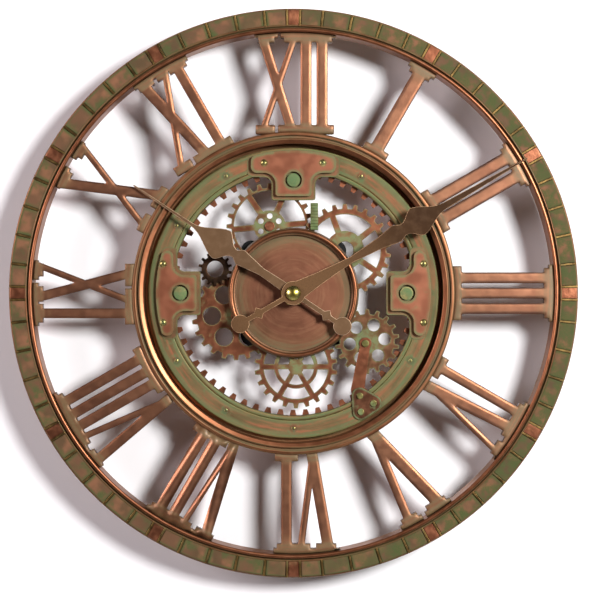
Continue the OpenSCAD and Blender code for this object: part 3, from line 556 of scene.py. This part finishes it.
def node_materials():
    """The materials of nodes that look different from the rest of their slot."""
    special = {}
    for gear, hub in GEAR_HUBS.items():
        metal, mottle = (DULL_COPPER, 0.3) if gear == "gear_lower_right" else (RED_COPPER, 0.2)
        special[gear] = aged_metal(f"{gear}_copper", *metal, GEAR_GREEN, green=0.85, crevice_mm=1.6,
                                   mottle=mottle, hub=hub, border=0.9)
    bracket = aged_metal("bracket_copper", *BRACKET, GREEN, green=0.85, metallic=0.6, border=2.6,
                         patch_bias=-0.04, mottle=0.25, shade=0.15, flank=0.2, blotch=(7, 1), patch=(9, 2))
    special.update({f"bracket_{side}": bracket for side in ("top", "left", "right")})
    numeral = aged_metal("numeral_copper", *COPPER, OLIVE, green=0.85, rough=(0.33, 0.4), ring=NUMERAL_RING,
                         patch_bias=-0.12, mottle=0.15, wear_and_highlight=0.08, flank=0.8, round_mm=2.4, coat=0.35)
    special.update(dict.fromkeys(NUMERALS, numeral))
    special["ring_plate"] = aged_metal("ring_plate_patina", *PLATE, GREEN, green=0.9, rough=(0.42, 0.56),
                                       metallic=0.7, ring=PLATE_RING, patch_bias=0.02, streak=(1.8, 20, 71),
                                       studs=(12, 71.5), mottle=0.85, lump=0.08,
                                       edge_tint=tone(160, 140, 84), shade=0.5, flank=0.5)
    special["bracket_bases"] = aged_metal("base_patina", *PLATE, GREEN, green=0.85, rough=(0.42, 0.58),
                                          metallic=0.6, border=1.2, patch_bias=0.05, lump=0.1, shade=0.1,
                                          flank=0.1)
    special["worm_strip"] = aged_metal("worm_patina", GREEN, OLIVE, tone(150, 160, 110), MINT, green=0.9,
                                       rough=(0.5, 0.6), metallic=0.4, patch_bias=0.1)
    special["centre_dish"] = aged_metal("dish_copper", *BROWN_COPPER, OLIVE, green=0.85, rough=(0.42, 0.48),
                                        ring=DISH_RING, wander_mm=6.0, patch_bias=-0.16, mottle=0.4,
                                        streak=(1.4, 16, 22), lump=0.015, grain=0.008)
    special["internal_ring_gear"] = aged_metal("tooth_copper", *RED_COPPER, OLIVE, green=0.6)
    special["lever_lug"] = aged_metal("lug_copper", *DARK_COPPER, MINT, green=0.9, border=1.6)
    special["lever_rivets"] = aged_metal("lever_rivet_patina", *SCREW, MINT, green=0.85, patch_bias=0.1)
    # The small gear gets painted shade for the hour hand's shadow that it lies in.
    special["gear_left_small"] = aged_metal("small_gear_painted_shade", *SHADED_GEAR_COPPER, OLIVE, green=0.4)
    special["ring_screws"] = aged_metal("ring_screw_patina", *SCREW, MINT, green=0.85, patch_bias=0.08,
                                        wear_and_highlight=0.7)
    special["bracket_bosses"] = aged_metal("boss_patina", *SCREW, MINT, green=0.9, rough=(0.6, 0.7),
                                           metallic=0.2, patch_bias=0.2, lump=0.2, shade=0.2, flank=0.3)
    for beaded, ring in (("outer_rim", RIM_RING), ("inner_bezel", BEZEL_RING), ("dish_bezel", LIP_RING)):
        special[beaded] = aged_metal(f"{beaded}_copper", *BEAD, OLIVE, green=0.9, rough=(0.34, 0.4),
                                     ring=ring, wander_mm=0.6, patch_bias=-0.1, mottle=0.15, lump=0.006,
                                     grain=0.004, wear_and_highlight=0.0, shade=0.1, flank=0.0)
    return special


def make_materials():
    """Each node's material: its own, or else the one its slot shares."""
    shared, special = slot_materials(), node_materials()
    return {name: special[name] if name in special else shared[SLOTS[name]] for name in NODES}


# ---------------------------------------------------------------- turned rings, which stand in for CAD nodes

RING_STEPS = 360      # round the ring
CORNER_STEPS = 6      # round each corner of its section
STRAIGHT = 0.01       # the turn in radians below which a corner stays a point

# Sections as (radius, depth from the wall, corner radius), in millimetres, going once round each ring.
SECTIONS = {
    "outer_rim": [(137.4, 14, 0.8), (149.6, 14, 1.2), (149.6, 22.6, 0.2), (140.95, 22.6, 0.05),
                  (140.95, 24.2, 0.1), (140.35, 24.2, 0.1), (140.35, 26.95, 1.4), (137.4, 26.95, 1.4)],
    "inner_bezel": [(73.5, 16.4, 0.2), (84.9, 16.4, 0.4), (84.9, 25.7, 0.65), (83.5, 25.7, 0.6),
                    (83.2, 25.45, 0.3), (81.9, 25.45, 0.3), (81.5, 26.2, 0.9), (78.4, 26.2, 1.4),
                    (78.4, 18.1, 0.2), (73.5, 18.1, 0.2)],
    "ring_plate": [(65.6, 18.1, 0.1), (76.1, 18.1, 0.1), (76.1, 20.7, 0.2), (67.9, 20.7, 0.5),
                   (67.5, 20.1, 0.3), (66.7, 20.1, 0.2), (66.5, 20.65, 0.3), (65.6, 20.65, 0.35)],
    "centre_dish": [(4.2, 16.8, 0.1), (8.6, 16.8, 0.2), (8.6, 19.8, 0.2), (31.6, 19.8, 0.1),
                    (31.6, 22.6, 0.1), (30.9, 21.3, 1.0), (4.2, 21.3, 0.3)],
    "dish_bezel": [(31.6, 19.8, 0.2), (34, 19.8, 0.4), (34, 25.2, 1.15), (31.6, 25.2, 1.15)],
}


def rounded(section):
    """The corner points of a section, each replaced by an arc of its own radius."""
    points = []
    for index, (radius, depth, round_r) in enumerate(section):
        corner = Vector((radius, depth))
        before = (Vector(section[index - 1][:2]) - corner).normalized()
        after = (Vector(section[(index + 1) % len(section)][:2]) - corner).normalized()
        half = before.angle(after) / 2
        inset = round_r / math.tan(half)
        middle = corner + (before + after).normalized() * round_r / math.sin(half)
        start = corner + before * inset - middle
        finish = corner + after * inset - middle
        for step in range(CORNER_STEPS + 1):
            part = step / CORNER_STEPS
            points.append(middle + start.slerp(finish, part) if start.angle(finish) > STRAIGHT else corner)
    return points


def turned_ring(name, section):
    """A smooth ring round the hand axis."""
    points = rounded(section)
    count = len(points)
    vertices = []
    for step in range(RING_STEPS):
        turn = 2 * math.pi * step / RING_STEPS
        vertices += [(p.x * MM * math.sin(turn), -p.y * MM, p.x * MM * math.cos(turn)) for p in points]
    faces = []
    for step in range(RING_STEPS):
        here, there = step * count, (step + 1) % RING_STEPS * count
        for i in range(count):
            j = (i + 1) % count
            faces.append((here + i, here + j, there + j, there + i))
    mesh = bpy.data.meshes.new(name)
    mesh.from_pydata(vertices, [], faces)
    mesh.polygons.foreach_set("use_smooth", [True] * len(faces))
    ring = bpy.data.objects.new(name, mesh)
    bpy.context.scene.collection.objects.link(ring)
    weigh_normals(ring)
    return ring


def weigh_normals(obj):
    """Smooth shading that leaves the large faces flat."""
    normals = obj.modifiers.new("normals", "WEIGHTED_NORMAL")
    normals.mode = "FACE_AREA"
    normals.keep_sharp = True


def make_rings(materials):
    """Finely turned rings in place of the CAD's faceted ones."""
    for node, section in SECTIONS.items():
        ring = turned_ring(f"turned_{node}", section)
        ring.data.materials.append(materials[node])
        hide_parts(node)
        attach(ring, "frame")


# ---------------------------------------------------------------- finishing the CAD nodes

TRAIN = ("rotor", "intermediate_wheel", "seconds_wheel", "third_wheel", "centre_wheel", "minute_wheel",
         "hour_wheel", "circuit_board", "stator", "battery_contacts")

# Bevel widths in millimetres. A wide bevel throws spikes from the sharp corners of numerals 7, 9 and 11.
DEFAULT_BEVEL = 0.25
BEVELS = dict.fromkeys(TRAIN, 0.06) | dict.fromkeys(NUMERALS, 0.8) | {
    "numeral_7": 0, "numeral_9": 0.25, "numeral_11": 0.25,
    "rim_tiles": 0.6, "rim_ridges": 0.15, "hour_markers": 0.4,
    "bracket_top": 0.6, "bracket_left": 0.6, "bracket_right": 0.6, "bracket_bases": 0.3,
    "lever_lug": 0.4, "lever_arm": 0.3, "hour_hand": 0.32, "minute_hand": 0.32,
    "movement_front_case": 0.6, "movement_rear_cover": 0.3, "battery_cell": 0.4, "hanger_plate": 0.3,
}
WELD_MM = 0.002
COPLANAR_DEGREES = 0.5     # facets that meet at less than this are joined
BEVEL_DEGREES = 32         # edges that turn by more than this are rounded
BEVEL_SEGMENTS = 3


def soften(node, width_mm, join_facets):
    """Rounds the edges of a CAD node and shades it smoothly, with its flat facets joined if asked.

    A node that keeps its facets also has a bevel that isn't held back by short edges.
    """
    if "custom_normal" in node.data.attributes:
        node.data.attributes.remove(node.data.attributes["custom_normal"])
    weld = node.modifiers.new("weld", "WELD")
    weld.merge_threshold = WELD_MM * MM
    if join_facets:
        merge = node.modifiers.new("merge", "DECIMATE")
        merge.decimate_type = "DISSOLVE"
        merge.angle_limit = math.radians(COPLANAR_DEGREES)
    if width_mm:
        bevel = node.modifiers.new("bevel", "BEVEL")
        bevel.width = width_mm * MM
        bevel.segments = BEVEL_SEGMENTS
        bevel.limit_method = "ANGLE"
        bevel.angle_limit = math.radians(BEVEL_DEGREES)
        bevel.use_clamp_overlap = join_facets
    node.data.polygons.foreach_set("use_smooth", [True] * len(node.data.polygons))
    weigh_normals(node)


def dress_nodes(materials):
    """Materials and soft edges for the CAD nodes that no turned ring replaces."""
    for name, node in NODES.items():
        if name in SECTIONS:
            continue
        for slot in node.material_slots:
            slot.material = materials[name]
        soften(node, BEVELS.get(name, DEFAULT_BEVEL), join_facets=name not in NUMERALS)


def main():
    make_camera()
    make_stage()
    make_lights()
    make_world()
    materials = make_materials()
    dress_nodes(materials)
    make_rings(materials)


main()
